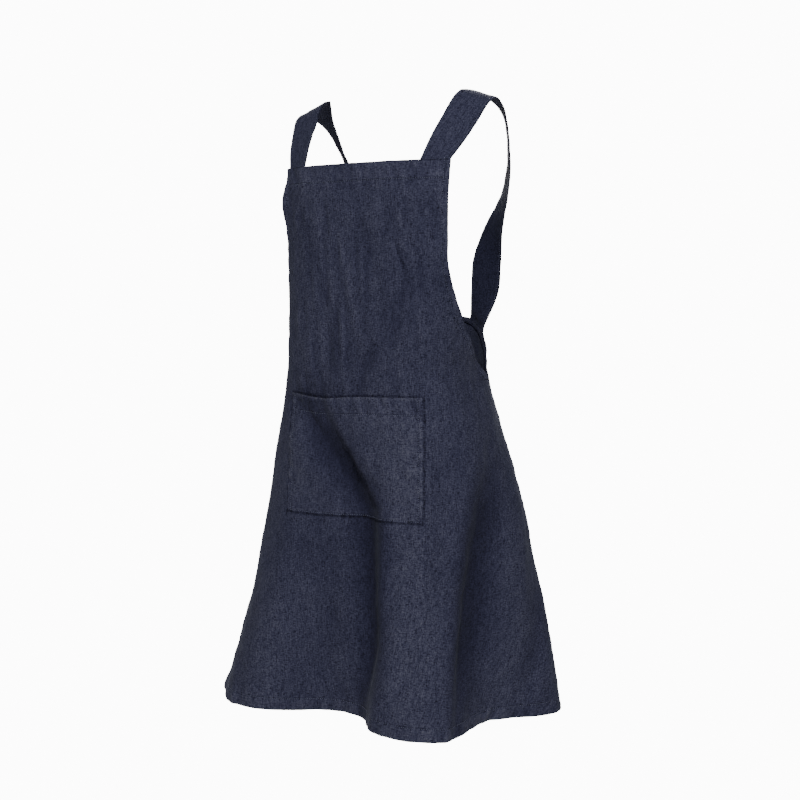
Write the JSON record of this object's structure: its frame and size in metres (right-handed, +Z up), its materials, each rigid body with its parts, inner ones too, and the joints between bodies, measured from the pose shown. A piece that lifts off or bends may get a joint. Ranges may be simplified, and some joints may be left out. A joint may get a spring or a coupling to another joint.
{
  "type": "cross back apron",
  "caption": "Pinafore style linen apron with a square bib, a wide patch pocket, a skirt that wraps round to an open back, and broad straps that cross behind.",
  "frame": {"origin": "between the shoulders, level with the tops of the straps, where the worn apron hangs", "axes": "+Z up, the front faces -Y, the wearer's left is +X"},
  "size_m": [0.5307, 0.3628, 0.9565],
  "materials": {
    "linen": "washed dark navy linen, matt",
    "linen_hem": "the same linen where it is turned and stitched, a little paler"
  },
  "bodies": {
    "root": {"front_panel": "linen", "pocket": "linen", "pocket_hem": "linen_hem", "back_panel_left": "linen", "back_panel_right": "linen", "bottom_hem": "linen_hem", "armhole_hem_left": "linen_hem", "armhole_hem_right": "linen_hem", "back_edge_hem_left": "linen_hem", "back_edge_hem_right": "linen_hem", "side_seam_left": "linen_hem", "side_seam_right": "linen_hem", "bib_hem": "linen_hem", "strap_left": "linen", "strap_right": "linen"}
  },
  "joints": []
}
